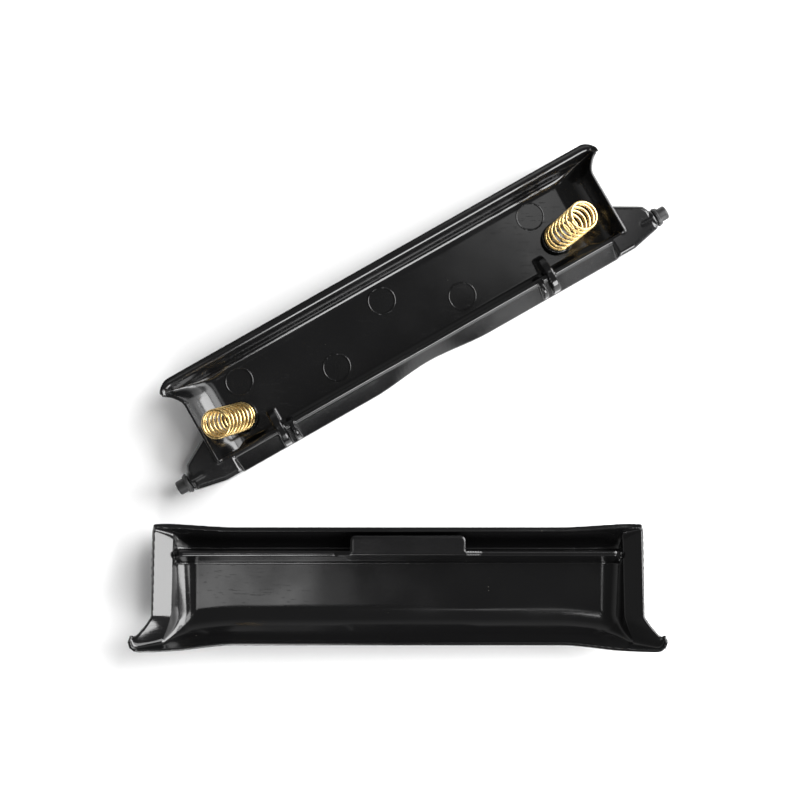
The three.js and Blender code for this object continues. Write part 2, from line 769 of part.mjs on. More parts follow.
/** The catch tab that stands out from the ledge towards the narrow rim, with its two feet. */
function catchTab() {
  const half = TAB.length / 2;
  const shape = new THREE.Shape();
  const r = TAB.cornerRadius;
  shape.moveTo(-half, -LEDGE.top);
  shape.lineTo(half, -LEDGE.top);
  shape.lineTo(half, TAB.reach - r);
  shape.absarc(half - r, TAB.reach - r, r, 0, Math.PI / 2, false);
  shape.lineTo(-half + r, TAB.reach);
  shape.absarc(-half + r, TAB.reach - r, r, Math.PI / 2, Math.PI, false);
  shape.closePath();
  const plate = new THREE.ExtrudeGeometry(shape, {
    depth: TAB.thickness,
    bevelEnabled: false,
    curveSegments: 4,
  });
  const solid = toSolid(plate.translate(TAB.centre, 0, LEDGE.height));
  const outline = [
    [0, LEDGE.height - LEDGE.footHeight],
    [0, LEDGE.height + TAB.thickness],
    [-LEDGE.top, LEDGE.height + TAB.thickness],
    [-LEDGE.foot, SHELL.wall + LEDGE.footHeight],
    [-LEDGE.foot, SHELL.wall / 2],
    [0, SHELL.wall / 2],
  ];
  const stations = [-half - TAB.footLength, -half, half, half + TAB.footLength];
  const feet = loft(
    stations.map((u) => u + TAB.centre),
    (u) => {
      const raised = Math.abs(u - TAB.centre) < half + TAB.footLength / 2;
      const top = raised ? TAB.thickness : -LEDGE.chamfer;
      return outline.map(([v, w]) => [v, w > LEDGE.height ? LEDGE.height + top : w]);
    },
  );
  return solid.add(feet);
}

function gripShell() {
  return joined([shellPan(), ledge(), catchTab()]);
}

// ---- Assembly ----
const BLACK_GLOSS = new THREE.MeshStandardMaterial({ color: 0x0b0b0c, roughness: 0.16, metalness: 0 });
const BLACK_SATIN = new THREE.MeshStandardMaterial({ color: 0x161616, roughness: 0.5, metalness: 0 });
const BRASS = new THREE.MeshStandardMaterial({ color: 0xc9a254, roughness: 0.28, metalness: 1 });

function named(name, solid, material) {
  const mesh = new THREE.Mesh(toGeometry(solid), material);
  mesh.name = name;
  return mesh;
}

/** The left and right copies of a piece that is made for the +u end. */
function pair(name, solid, material, shift = 0) {
  const [right, left] = bothEnds(solid, shift);
  return [named(`left_${name}`, left, material), named(`right_${name}`, right, material)];
}

const flap = new THREE.Group();
flap.add(named("flap_shell", flapShell(), BLACK_GLOSS));
flap.add(...pair("pivot_pin", pivotPin(), BLACK_SATIN));
flap.add(...pair("pin_collar", pinCollar(), BLACK_SATIN));
flap.add(...pair("return_spring", returnSpring(), BRASS, INSIDE_SHIFT));
flap.rotation.z = THREE.MathUtils.degToRad(LAYOUT.flapTurn);
flap.position.set(LAYOUT.flapAcross, LAYOUT.flapUp, 0);

const shell = new THREE.Group();
shell.add(named("grip_shell", gripShell(), BLACK_GLOSS));
shell.position.set(0, -LAYOUT.shellDown, 0);

const handle = new THREE.Group();
handle.add(flap, shell);

/** The group with its origin under the middle of its overall box. */
function centred(group) {
  group.updateMatrixWorld(true);
  const box = new THREE.Box3().setFromObject(group, true);
  const middle = box.getCenter(new THREE.Vector3());
  group.position.set(-middle.x, -middle.y, -box.min.z);
  const outer = new THREE.Group();
  outer.add(group);
  return outer;
}

export default centred(handle);
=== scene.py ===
"""Looks for the sprung grip handle, which lies open on a pale table under soft studio light.

The two mouldings are built again at a finer grain, in millimetres, each in its own frame: u runs
along the moulding, v across it and w is the height above the table. They are then put where the
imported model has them.
"""
import json
import math

import bmesh
import bpy
import numpy as np
from mathutils import Matrix, Vector


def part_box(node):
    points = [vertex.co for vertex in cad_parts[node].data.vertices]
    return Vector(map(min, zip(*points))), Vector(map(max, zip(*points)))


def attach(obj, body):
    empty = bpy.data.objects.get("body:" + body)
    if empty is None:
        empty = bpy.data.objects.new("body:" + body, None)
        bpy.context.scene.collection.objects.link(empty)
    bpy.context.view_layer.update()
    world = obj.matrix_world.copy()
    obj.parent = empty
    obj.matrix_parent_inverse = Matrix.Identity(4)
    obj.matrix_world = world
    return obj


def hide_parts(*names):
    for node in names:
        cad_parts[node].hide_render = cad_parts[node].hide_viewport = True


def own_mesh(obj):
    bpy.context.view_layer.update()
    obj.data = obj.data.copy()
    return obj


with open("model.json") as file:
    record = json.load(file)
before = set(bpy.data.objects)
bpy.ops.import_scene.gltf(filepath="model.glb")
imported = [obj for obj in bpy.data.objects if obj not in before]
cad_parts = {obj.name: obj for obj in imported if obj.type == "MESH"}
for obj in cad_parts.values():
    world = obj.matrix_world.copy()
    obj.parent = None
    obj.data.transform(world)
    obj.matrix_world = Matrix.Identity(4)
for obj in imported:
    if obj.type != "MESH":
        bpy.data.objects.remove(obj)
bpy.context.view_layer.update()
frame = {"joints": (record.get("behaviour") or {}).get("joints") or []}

# ---- Camera ----
AIM = (-0.7, -1.0, 6.0)  # point looked at, in mm from the middle of the CAD box's underside
TILT = 4  # degrees from straight down, towards the front
DISTANCE = 520  # mm from the camera to that point
FIELD = 240  # mm seen across the frame at that point
SENSOR = 36
NEAREST = 0.01  # metres from the camera that it still sees
TABLE = dict(size=6, drop=0.0002)  # metres: its side, and how far it is below the pieces

# ---- Sizes of the mouldings, in mm ----
MM = 0.001  # metres
VOXEL = 0.25
CREASE = 40  # degrees between faces above which an edge stays sharp
SOFTENING = 3  # rounds of smoothing after the voxel remesh, which round every edge
LEAN = 0.95  # share of a quarter turn that a wall has made when it reaches its rim
BLEND = 3.0  # difference in height over which two walls blend where they meet
BELOW = 1  # how far a cutter goes on past the faces that it cuts
FLAP = dict(
    waist=140.8, flare=5.5, wall=1.8, rim=0.9, end_height=9.4, end_run=10.5, flare_start=20.4,
    curve_start=23.2, curve_radius=3, curve_turn=80, straight=5.6, roll_radius=1.7, roll_flat=1.1,
    corner=4.5,
)
HINGE = dict(
    pivot=6, spine=9, inner=1.4, thickness=1.6, edge=5.1, edge_low=2.2, edge_high=3.1, wall=1.6,
    edge_round=0.3, edge_wall=2.4, crown=1.1, crown_back=0.96, foot=-0.7, foot_lift=0.1, foot_round=1,
    foot_run=1.6, hollow_round=0.4, overlap=0.5, saddle_width=40, saddle_depth=1.5, saddle_drop=0.9,
)
GUSSET = dict(
    inner=5.5, rise=9.8, tip=9, tip_half=3.2, shoulder=1.6, bevel=0.8, rim=0.4, wall=1.6,
    boss_radius=3.1, boss_length=4, boss_chamfer=0.4, step=0.8,
)
PIN = dict(radius=2.14, exposed=4.3, seated=6, chamfer=0.6, bore=0.25)
COLLAR = dict(radius=2.94, width=0.9, lip_radius=2.69, lip_width=0.4, ease=0.15)
LUG = dict(
    at=46.5, thickness=2.2, reach=7.2, height=11.2, roundness=0.7, skip=0.12, front=1.5, front_inset=0.2,
    step_gap=2.6, step_thickness=1.3, step_reach=2.52, step_height=9.6,
)
SPRING = dict(
    outer=8.98, wire=0.86, turns=8.5, closed=1, closed_pitch=1.02, length=21.9, at=54.6, across=9.6, lean=19
)
SEAT = dict(radius=4.7, lift=0.1, spigot=3.3, spigot_height=2.6, spigot_chamfer=0.5)
MARK = dict(radius=4.1, depth=0.1, bead=0.5, bead_height=0.16, clear=0.6, root=0.5)
MARKS = [(-53, 19.6), (-3.4, 19.6), (48.6, 19.6), (-25.2, 8.7), (18.6, 8.7)]
INSIDE_SHIFT = -2.5  # of the lugs and springs from being even about mid length
SHELL = dict(
    waist=146.4, flare=6.2, wall=1.9, rim=0.9, rim_height=7, end_run=7, land=5.2, land_drop=3.6,
    rim_at=6.6, rim_sweep=1.2, rim_run=7, lip_at=26.7, lip_sweep=2.2, lip_run=10.6, lip_height=10.5,
    corner=2.5, flare_start=19.1, flare_power=1.3, sweep=26,
)
LEDGE = dict(
    length=132.6, top=1.2, foot=3.3, foot_height=0.6, height=8.2, chamfer=0.4, end_radius=2, bury=0.4
)
TAB = dict(
    centre=3, length=34.3, reach=4.6, thickness=1.5, corner=1.4, round=0.5, ease=0.15, foot_length=6,
    foot_drop=0.4,
)
FIT_GAP = 0.3


# ---- Meshes ----

def mesh_object(name, points, faces):
    """An object of a closed mesh in mm, with its faces turned outwards."""
    mesh = bpy.data.meshes.new(name)
    mesh.from_pydata([tuple(point) for point in points], [], faces)
    work = bmesh.new()
    work.from_mesh(mesh)
    bmesh.ops.remove_doubles(work, verts=work.verts, dist=1e-4)
    bmesh.ops.recalc_face_normals(work, faces=work.faces)
    work.to_mesh(mesh)
    work.free()
    piece = bpy.data.objects.new(name, mesh)
    bpy.context.collection.objects.link(piece)
    return piece


def sheet_between(name, inner, outer):
    """A sheet with thickness between two matching grids of points."""
    rows, columns = len(inner), len(inner[0])
    points = [point for grid in (inner, outer) for row in grid for point in row]

    def at(side, i, j):
        return (side * rows + i) * columns + j

    faces = []
    for i in range(rows - 1):
        for j in range(columns - 1):
            faces.append((at(0, i, j), at(0, i + 1, j), at(0, i + 1, j + 1), at(0, i, j + 1)))
            faces.append((at(1, i, j), at(1, i, j + 1), at(1, i + 1, j + 1), at(1, i + 1, j)))
    rim = [(i, 0) for i in range(rows)]
    rim += [(rows - 1, j) for j in range(1, columns)]
    rim += [(i, columns - 1) for i in range(rows - 2, -1, -1)]
    rim += [(0, j) for j in range(columns - 2, 0, -1)]
    for (i, j), (k, m) in zip(rim, rim[1:] + rim[:1]):
        faces.append((at(0, i, j), at(0, k, m), at(1, k, m), at(1, i, j)))
    return mesh_object(name, points, faces)


def loft(name, stations, profile_at):
    """A solid through closed (v, w) profiles, one at each u station."""
    rings = [[(u, v, w) for v, w in profile_at(u)] for u in stations]
    size = len(rings[0])
    faces = [tuple(range(size)), tuple((len(rings) - 1) * size + j for j in range(size))]
    for i in range(len(rings) - 1):
        for j in range(size):
            k = (j + 1) % size
            faces.append((i * size + j, i * size + k, (i + 1) * size + k, (i + 1) * size + j))
    return mesh_object(name, [point for ring in rings for point in ring], faces)


def prism(name, outline, levels):
    """An upright solid over a (u, v) outline, drawn in by an inset at each (height, inset) level."""
    count = len(outline)
    rings = []
    for height, inset in levels:
        for i in range(count):
            before, here, after = (Vector(outline[(i + k) % count]) for k in (-1, 0, 1))
            left = (here - before).normalized()
            right = (after - here).normalized()
            inward = Vector((-(left.y + right.y), left.x + right.x)) / (1 + left.dot(right))
            rings.append((here.x + inward.x * inset, here.y + inward.y * inset, height))
    faces = [tuple(range(count)), tuple((len(levels) - 1) * count + j for j in range(count))]
    for i in range(len(levels) - 1):
        for j in range(count):
            k = (j + 1) % count
            faces.append((i * count + j, i * count + k, (i + 1) * count + k, (i + 1) * count + j))
    return mesh_object(name, rings, faces)


def turned(name, steps, place, sides=64):
    """A turned solid from (distance, radius) steps, its axis along x before it is placed."""
    points = []
    for distance, radius in steps:
        for i in range(sides):
            angle = 2 * math.pi * i / sides
            points.append(place @ Vector((distance, radius * math.cos(angle), radius * math.sin(angle))))
    count = len(steps)
    faces = []
    for i in range(count - 1):
        for j in range(sides):
            k = (j + 1) % sides
            faces.append((i * sides + j, i * sides + k, (i + 1) * sides + k, (i + 1) * sides + j))
    if steps[0] == steps[-1]:
        return mesh_object(name, points, faces)
    faces += [tuple(range(sides)), tuple((count - 1) * sides + j for j in range(sides))]
    return mesh_object(name, points, faces)


def shifted(piece, along):
    piece.data.transform(Matrix.Translation((along, 0, 0)))
    return piece


def corner_back(along, end, radius):
    """How far a plan corner falls back from the straight edge, near the edge's far end."""
    past = clamp01((abs(along) - end + radius) / radius)
    return radius * (1 - math.sqrt(1 - past * past))


def mirrored(piece):
    """A copy of a piece for the other end of the moulding."""
    twin = piece.copy()
    twin.data = piece.data.copy()
    twin.data.transform(Matrix.Scale(-1, 4, (1, 0, 0)))
    twin.data.flip_normals()
    bpy.context.collection.objects.link(twin)
    return twin


def joined(name, pieces):
    """One object from several, with their closed meshes kept as they are."""
    work = bmesh.new()
    for piece in pieces:
        work.from_mesh(piece.data)
        bpy.data.objects.remove(piece)
    mesh = bpy.data.meshes.new(name)
    work.to_mesh(mesh)
    work.free()
    whole = bpy.data.objects.new(name, mesh)
    bpy.context.collection.objects.link(whole)
    return whole


def applied(piece):
    """The piece with its modifiers made part of its mesh."""
    bpy.context.view_layer.update()
    mesh = bpy.data.meshes.new_from_object(piece.evaluated_get(bpy.context.evaluated_depsgraph_get()))
    piece.modifiers.clear()
    piece.data = mesh
    return piece


def moulded(name, parts, cuts=(), beads=()):
    """Parts fused into one moulding with rounded edges, and then cut and given its beads."""
    whole = joined(name, parts)
    remesh = whole.modifiers.new("fuse", "REMESH")
    remesh.mode = "VOXEL"
    remesh.voxel_size = VOXEL
    soften = whole.modifiers.new("soften", "SMOOTH")
    soften.iterations = SOFTENING
    applied(whole)
    for operation, tools in (("DIFFERENCE", cuts), ("UNION", beads)):
        if not tools:
            continue
        tool = joined("tool", tools)
        change = whole.modifiers.new("change", "BOOLEAN")
        change.operation = operation
        change.solver = "MANIFOLD"
        change.object = tool
        applied(whole)
        bpy.data.objects.remove(tool)
    return whole


def shaded(piece):
    """Smooth shading, with steep edges kept sharp."""
    piece.data.shade_smooth()
    piece.data.set_sharp_from_angle(angle=math.radians(CREASE))


# ---- Trough surfaces ----

def clamp01(t):
    return min(1.0, max(0.0, t))


def ease(t):
    return t * t * (3 - 2 * t)


def wall_rise(distance, run, rise):
    """Height of a wall's inner face at a distance in from its rim: a curve from floor to rim."""
    x = clamp01(1 - distance / run) * LEAN
    return rise * (1 - math.sqrt(1 - x * x)) / (1 - math.sqrt(1 - LEAN * LEAN))


def blended_height(a, b):
    """The larger of two heights, blended where they are close and both off the floor."""
    reach = min(BLEND, a + b)
    if reach <= 0:
        return 0.0
    near = max(reach - abs(a - b), 0) / reach
    return max(a, b) + near * near * reach / 4


def end_spacing(half, run, on_wall, on_floor):
    """Places from one end wall to the other, close together on the walls' curves."""
    places = [(half - run) * i / on_floor for i in range(on_floor)]
    for i in range(on_wall + 1):
        places.append(half - run + run * math.sin(math.asin(LEAN) * i / on_wall) / LEAN)
    return [-d for d in reversed(places[1:])] + places


def offset_grid(grid, thickness):
    """The inner grid moved out along its normals by the wall's thickness at each point."""
    points = np.array(grid, float)
    normals = np.cross(np.gradient(points, axis=0), np.gradient(points, axis=1))
    normals /= np.linalg.norm(normals, axis=2, keepdims=True)
    return (points - normals * np.array(thickness)[..., None]).tolist()


def tapered(sizes, share):
    """Wall thickness at a share of the way up to the rim, where walls are thinnest."""
    return sizes["wall"] - (sizes["wall"] - sizes["rim"]) * clamp01(share) ** 2


# ---- Flap ----

def lip_section():
    """The flap's inner section as (v, height): floor, curve up, wall, roll outwards, flat edge."""
    start = HINGE["inner"] - HINGE["overlap"]
    on_floor, on_curve, on_wall, on_roll = 16, 12, 8, 10
    points = [(start + (FLAP["curve_start"] - start) * i / on_floor, 0) for i in range(on_floor)]
    turn = math.radians(FLAP["curve_turn"])
    for i in range(on_curve + 1):
        angle = turn * i / on_curve
        rise = FLAP["curve_radius"] * (1 - math.cos(angle))
        points.append((FLAP["curve_start"] + FLAP["curve_radius"] * math.sin(angle), rise))
    foot_v, foot_w = points[-1]
    for i in range(1, on_wall + 1):
        height = FLAP["straight"] * i / on_wall
        points.append((foot_v + height / math.tan(turn), foot_w + height))
    top_v, top_w = points[-1]
    radius = FLAP["roll_radius"]
    centre = (top_v + radius * math.sin(turn), top_w - radius * math.cos(turn))
    for i in range(1, on_roll + 1):
        angle = turn * (1 - i / on_roll)
        points.append((centre[0] - radius * math.sin(angle), centre[1] + radius * math.cos(angle)))
    points.append((points[-1][0] + FLAP["roll_flat"] / 2, points[-1][1]))
    points.append((points[-1][0] + FLAP["roll_flat"] / 2, points[-1][1]))
    return points


def flap_pan():
    """The floor, end walls and rolled lip of the flap as one sheet."""
    section = lip_section()
    edge = section[-1][0]
    half = FLAP["waist"] / 2 - FLAP["rim"]
    grid, thickness = [], []
    for u in end_spacing(half, FLAP["end_run"], on_wall=22, on_floor=16):
        on_wall = clamp01((abs(u) - half + FLAP["end_run"]) / FLAP["end_run"])
        end_height = wall_rise(half - abs(u), FLAP["end_run"], FLAP["end_height"])
        row = []
        for v, lip_height in section:
            out = ease(clamp01((v - FLAP["flare_start"]) / (edge - FLAP["flare_start"])))
            along = u + math.copysign(FLAP["flare"] * out * on_wall, u)
            back = out * corner_back(along, half + FLAP["flare"], FLAP["corner"])
            row.append((along, v - back, FLAP["wall"] + blended_height(lip_height, end_height)))
        grid.append(row)
        thickness.append([tapered(FLAP, end_height / FLAP["end_height"])] * len(section))
    return sheet_between("flap_pan", grid, offset_grid(grid, thickness))


def saddle(u):
    """How far the finger relief is cut at a distance from mid length, from 0 to 1."""
    return ease(clamp01(1 - abs(u) / (HINGE["saddle_width"] / 2)))


def hinge_wall(half):
    """The spine and the sloping wall in front of it."""
    back = HINGE["inner"]
    middle = back - HINGE["crown_back"]
    high, around = HINGE["crown"], 8
    edge_round, floor = HINGE["edge_round"], FLAP["wall"]

    def profile(u):
        edge = -(HINGE["edge"] - HINGE["saddle_depth"] * saddle(u))
        top = HINGE["spine"] - HINGE["saddle_drop"] * saddle(u)
        crown = []
        for i in range(around + 1):
            angle = math.pi * i / around
            v = middle - (back - middle) * math.cos(angle)
            crown.append((v, top - high + high * math.sin(angle)))
        return [
            (back + HINGE["foot_run"], HINGE["foot_lift"]), (HINGE["foot"], HINGE["foot_lift"]),
            (edge + edge_round, HINGE["edge_low"]), (edge, HINGE["edge_low"] + edge_round),
            (edge, HINGE["edge_high"]), *crown,
            (back, floor + HINGE["foot_round"]), (back + HINGE["foot_run"], floor),
        ]

    return loft("hinge_wall", np.linspace(-half, half, 97), profile)


def hinge_hollow(half):
    """The space under the sloping wall."""
    front = HINGE["inner"] - HINGE["thickness"]

    def profile(u):
        edge = -(HINGE["edge"] - HINGE["edge_wall"] - HINGE["saddle_depth"] * saddle(u))
        top = HINGE["spine"] - 2 * HINGE["wall"] - HINGE["saddle_drop"] * saddle(u)
        return [
            (front, -BELOW), (front, top), (front - HINGE["hollow_round"], top),
            (edge, HINGE["edge_high"]), (edge, -BELOW),
        ]

    return loft("hinge_hollow", np.linspace(-half, half, 65), profile)


def gusset():
    """Tapered end block at the +u end, with the boss that holds the pin."""
    waist = FLAP["waist"] / 2
    tip = waist + GUSSET["tip"]
    outline = [
        (waist - GUSSET["inner"], -HINGE["edge"]), (waist, -HINGE["edge"]), (tip, -GUSSET["tip_half"]),
        (tip, GUSSET["tip_half"]),
        (tip - GUSSET["shoulder"] / 2, GUSSET["tip_half"] + GUSSET["shoulder"]),
        (waist - GUSSET["rim"], GUSSET["rise"]), (waist - GUSSET["wall"], GUSSET["rise"]),
        (waist - GUSSET["wall"], HINGE["inner"]),
        (waist - GUSSET["inner"], HINGE["inner"]),
    ]
    bevel = GUSSET["bevel"]
    low, high = HINGE["edge_low"], HINGE["spine"]
    block = prism("gusset", outline, [(low, bevel), (low + bevel, 0), (high - bevel, 0), (high, bevel)])
    radius = GUSSET["boss_radius"]
    steps = [
        (tip - GUSSET["boss_length"], radius), (tip + GUSSET["step"] / 2, radius),
        (tip + GUSSET["step"], radius - GUSSET["boss_chamfer"]),
    ]
    return [block, turned("boss", steps, Matrix.Translation((0, 0, HINGE["pivot"])))]


def fin(name, at, thickness, height, reach):
    """A rounded fin over the spine: down the hinge wall in front, onto the floor behind."""
    low, steps = HINGE["edge_high"], 24
    outline = [
        (reach, FLAP["wall"] / 2), (-LUG["front"], low), (-HINGE["edge"] + LUG["front_inset"], low)
    ]
    middle, span = (reach - HINGE["edge"]) / 2, (reach + HINGE["edge"]) / 2
    for i in range(steps + 1):
        angle = math.pi * (1 - (LUG["skip"] + (1 - LUG["skip"]) * i / steps))
        rise = (height - low) * max(0.0, math.sin(angle)) ** LUG["roundness"]
        outline.append((middle + span * math.cos(angle), low + rise))
    return loft(name, [at - thickness / 2, at + thickness / 2], lambda u: outline)


def lugs():
    """The fin across the spine at the +u side, and the lower step beside it."""
    step_at = LUG["at"] - LUG["thickness"] / 2 - LUG["step_gap"]
    return [
        fin("lug", LUG["at"], LUG["thickness"], LUG["height"], LUG["reach"]),
        fin("lug_step", step_at, LUG["step_thickness"], LUG["step_height"], LUG["step_reach"]),
    ]


SPRING_LEAN = math.radians(SPRING["lean"])
SEAT_HEIGHT = FLAP["wall"] + SEAT["radius"] * math.sin(SPRING_LEAN) + SEAT["lift"]
SPRING_BASE = (
    Matrix.Translation((SPRING["at"], SPRING["across"], SEAT_HEIGHT))
    @ Matrix.Rotation(SPRING_LEAN, 4, "Y")
)


def spring_seat():
    """The tilted seat of the +u spring, with the spigot that centres it."""
    spigot, chamfer = SEAT["spigot"], SEAT["spigot_chamfer"]
    top = SEAT["spigot_height"]
    low = -FLAP["wall"] / 2 / math.cos(SPRING_LEAN)
    steps = [
        (low, SEAT["radius"]), (0, SEAT["radius"]), (0, spigot), (top - chamfer, spigot),
        (top, spigot - chamfer),
    ]
    upright = Matrix.Rotation(math.radians(-90), 4, "Y")
    return turned("spring_seat", steps, SPRING_BASE @ upright)


def pin_bore():
    """The clearance hole for a pin at the +u end."""
    end = FLAP["waist"] / 2 + GUSSET["tip"] + GUSSET["step"]
    radius = PIN["radius"] + PIN["bore"]
    place = Matrix.Translation((0, 0, HINGE["pivot"]))
    steps = [(end - PIN["seated"] - FIT_GAP, radius), (end + 2 * BELOW, radius)]
    return turned("pin_bore", steps, place)


def on_floor(u, v):
    """Stands a turned piece upright on the flap's floor."""
    return Matrix.Translation((u, v, FLAP["wall"])) @ Matrix.Rotation(math.radians(-90), 4, "Y")


def ejector_recess(u, v):
    """Cutter for the shallow round mark that an ejector pin leaves."""
    steps = [(-MARK["depth"], MARK["radius"]), (MARK["clear"], MARK["radius"])]
    return turned("mark", steps, on_floor(u, v), 96)


def ejector_bead(u, v):
    """The fine raised ring round an ejector pin mark."""
    radius, half, high = MARK["radius"], MARK["bead"] / 2, MARK["bead_height"]
    root, around = -MARK["root"], 6
    steps = [(root, radius - half), (0, radius - half)]
    for i in range(1, around):
        angle = math.pi * i / around
        steps.append((high * math.sin(angle), radius - half * math.cos(angle)))
    steps += [(0, radius + half), (root, radius + half), (root, radius - half)]
    return turned("bead", steps, on_floor(u, v), 96)


def flap_shell():
    half = FLAP["waist"] / 2
    ends = [*gusset()]
    ends += [mirrored(piece) for piece in ends]
    inside = [*lugs(), spring_seat()]
    inside += [mirrored(piece) for piece in inside]
    inside = [shifted(piece, INSIDE_SHIFT) for piece in inside]
    bore = pin_bore()
    cuts = [hinge_hollow(half - GUSSET["inner"]), bore, mirrored(bore)]
    cuts += [ejector_recess(u, v) for u, v in MARKS]
    beads = [ejector_bead(u, v) for u, v in MARKS]
    return moulded("flap_moulding", [flap_pan(), hinge_wall(half), *ends, *inside], cuts, beads)


# ---- Grip shell ----

def sweep_at(u):
    """How far the rim and lip have swept out at a distance from mid length, from 0 to 1."""
    start = SHELL["waist"] / 2 - SHELL["sweep"]
    return ease(clamp01((abs(u) - start) / SHELL["sweep"]))


def shell_columns(lip, rim):
    """Places across the grip shell from lip to rim, close together on the two curved walls."""
    steps = 18
    arc = [math.sin(math.asin(LEAN) * i / steps) / LEAN for i in range(steps + 1)]
    places = [lip + SHELL["lip_run"] * (1 - share) for share in reversed(arc)]
    floor_start, floor_end = lip + SHELL["lip_run"], rim - SHELL["rim_run"]
    places += [floor_start + (floor_end - floor_start) * i / 12 for i in range(1, 12)]
    return places + [floor_end + SHELL["rim_run"] * share for share in arc]


def end_land_rise(distance, share):
    """Height of an end's inner face at a distance in from its rim, and at a share from lip to narrow rim."""
    top = SHELL["lip_height"] + (SHELL["rim_height"] - SHELL["lip_height"]) * share
    foot = top - SHELL["land_drop"]
    if distance < SHELL["land"]:
        return foot + SHELL["land_drop"] * (1 - distance / SHELL["land"])
    return wall_rise(distance - SHELL["land"], SHELL["end_run"], foot)


def shell_pan():
    """The grip shell's floor, end walls, narrow rim and flared lip as one sheet."""
    half = SHELL["waist"] / 2 - SHELL["rim"]
    reach = SHELL["land"] + SHELL["end_run"]
    on_floor, on_end = 48, 40
    near_end = [half - reach * (1 - i / on_end) for i in range(on_end + 1)]
    right = [(half - reach) * i / on_floor for i in range(on_floor)] + near_end
    grid, thickness = [], []
    for u in [-place for place in reversed(right[1:])] + right:
        rim = SHELL["rim_at"] + SHELL["rim_sweep"] * sweep_at(u) - SHELL["rim"]
        lip = -(SHELL["lip_at"] + SHELL["lip_sweep"] * sweep_at(u))
        flared = SHELL["land"] + SHELL["end_run"] / 2
        on_wall = clamp01((abs(u) - half + flared) / flared)
        row = []
        for v in shell_columns(lip, rim):
            out = clamp01((-SHELL["flare_start"] - v) / (SHELL["lip_at"] - SHELL["flare_start"]))
            out **= SHELL["flare_power"]
            end_rise = end_land_rise(half - abs(u), (v - lip) / (rim - lip))
            rim_rise = wall_rise(rim - v, SHELL["rim_run"], SHELL["rim_height"])
            lip_rise = wall_rise(v - lip, SHELL["lip_run"], SHELL["lip_height"])
            height = blended_height(blended_height(rim_rise, lip_rise), end_rise)
            along = u + math.copysign(SHELL["flare"] * out * on_wall, u)
            back = out * corner_back(along, half + SHELL["flare"], SHELL["corner"])
            row.append((along, v + back, SHELL["wall"] + height))
        grid.append(row)
        thickness.append([tapered(SHELL, (w - SHELL["wall"]) / SHELL["lip_height"]) for _, _, w in row])
    return sheet_between("shell_pan", grid, offset_grid(grid, thickness))


def ledge():
    """The long ledge on the grip shell's floor, with rounded ends, standing on the floor as it rises."""
    half = LEDGE["length"] / 2
    rim_face = SHELL["waist"] / 2 - SHELL["rim"]
    share = SHELL["lip_at"] / (SHELL["lip_at"] + SHELL["rim_at"])
    radius, chamfer, foot_height = LEDGE["end_radius"], LEDGE["chamfer"], LEDGE["foot_height"]

    def profile(u):
        floor = end_land_rise(rim_face - abs(u), share)
        top = LEDGE["height"] - radius * clamp01((abs(u) - half) / radius + 1) ** 2
        return [
            (LEDGE["bury"], floor + SHELL["wall"] / 2), (0, top), (-LEDGE["top"], top),
            (-LEDGE["top"] - chamfer, top - chamfer), (-LEDGE["foot"], floor + SHELL["wall"] + foot_height),
            (-LEDGE["foot"] - foot_height, floor + SHELL["wall"] / 2),
        ]

    detailed, count = 10, 30
    near_end = [half - detailed + detailed * i / count for i in range(count + 1)]
    return loft("ledge", [-u for u in reversed(near_end)] + near_end, profile)


def catch_tab():
    """The catch tab that stands out from the ledge towards the narrow rim, with its two feet."""
    half, r, reach = TAB["length"] / 2, TAB["corner"], TAB["reach"]
    outline = [(half, -LEDGE["top"])]
    around = 8
    for i in range(around + 1):
        angle = math.pi / 2 * i / around
        outline.append((half - r + r * math.cos(angle), reach - r + r * math.sin(angle)))
    outline += [(-u, v) for u, v in reversed(outline)]
    outline = [(u + TAB["centre"], v) for u, v in outline]
    low, high = LEDGE["height"], LEDGE["height"] + TAB["thickness"]
    edge, slight = TAB["round"], TAB["ease"]
    plate = prism("tab", outline, [(low, 0), (high - edge, 0), (high - slight, slight), (high, edge)])

    def profile(u):
        raised = abs(u - TAB["centre"]) < half + TAB["foot_length"] / 2
        top = high if raised else low - TAB["foot_drop"]
        foot_height = LEDGE["foot_height"]
        return [
            (0, low - foot_height), (0, top), (-LEDGE["top"], top),
            (-LEDGE["foot"], SHELL["wall"] + foot_height), (-LEDGE["foot"], SHELL["wall"] / 2),
            (0, SHELL["wall"] / 2),
        ]

    ends = [-half - TAB["foot_length"], -half, half, half + TAB["foot_length"]]
    return [plate, loft("tab_feet", [u + TAB["centre"] for u in ends], profile)]


def grip_shell():
    return moulded("grip_moulding", [shell_pan(), ledge(), *catch_tab()])


# ---- Pins, collars and springs ----

def pivot_pin():
    """The pivot pin at the +u end: a plain shank with a rounded nose."""
    seat = FLAP["waist"] / 2 + GUSSET["tip"] + GUSSET["step"]
    tip = seat + PIN["exposed"]
    steps = [(seat - PIN["seated"], PIN["radius"])]
    nose, around = PIN["chamfer"], 6
    for i in range(around + 1):
        angle = math.pi / 2 * i / around
        radius = PIN["radius"] - nose * (1 - math.cos(angle))
        steps.append((tip - nose * (1 - math.sin(angle)), radius))
    return turned("pin", steps, Matrix.Translation((0, 0, HINGE["pivot"])))


def pin_collar():
    """The thin stepped ring on the pin at the +u end."""
    start = FLAP["waist"] / 2 + GUSSET["tip"] + GUSSET["step"] + FIT_GAP
    hole = PIN["radius"] + PIN["bore"]
    width, lip = COLLAR["width"], COLLAR["lip_width"]
    edge = COLLAR["ease"]
    steps = [
        (start, hole), (start, COLLAR["radius"] - edge), (start + edge, COLLAR["radius"]),
        (start + width - edge, COLLAR["radius"]), (start + width, COLLAR["radius"] - edge),
        (start + width, COLLAR["lip_radius"]), (start + width + lip, COLLAR["lip_radius"]),
        (start + width + lip, hole), (start, hole),
    ]
    return turned("collar", steps, Matrix.Translation((0, 0, HINGE["pivot"])))


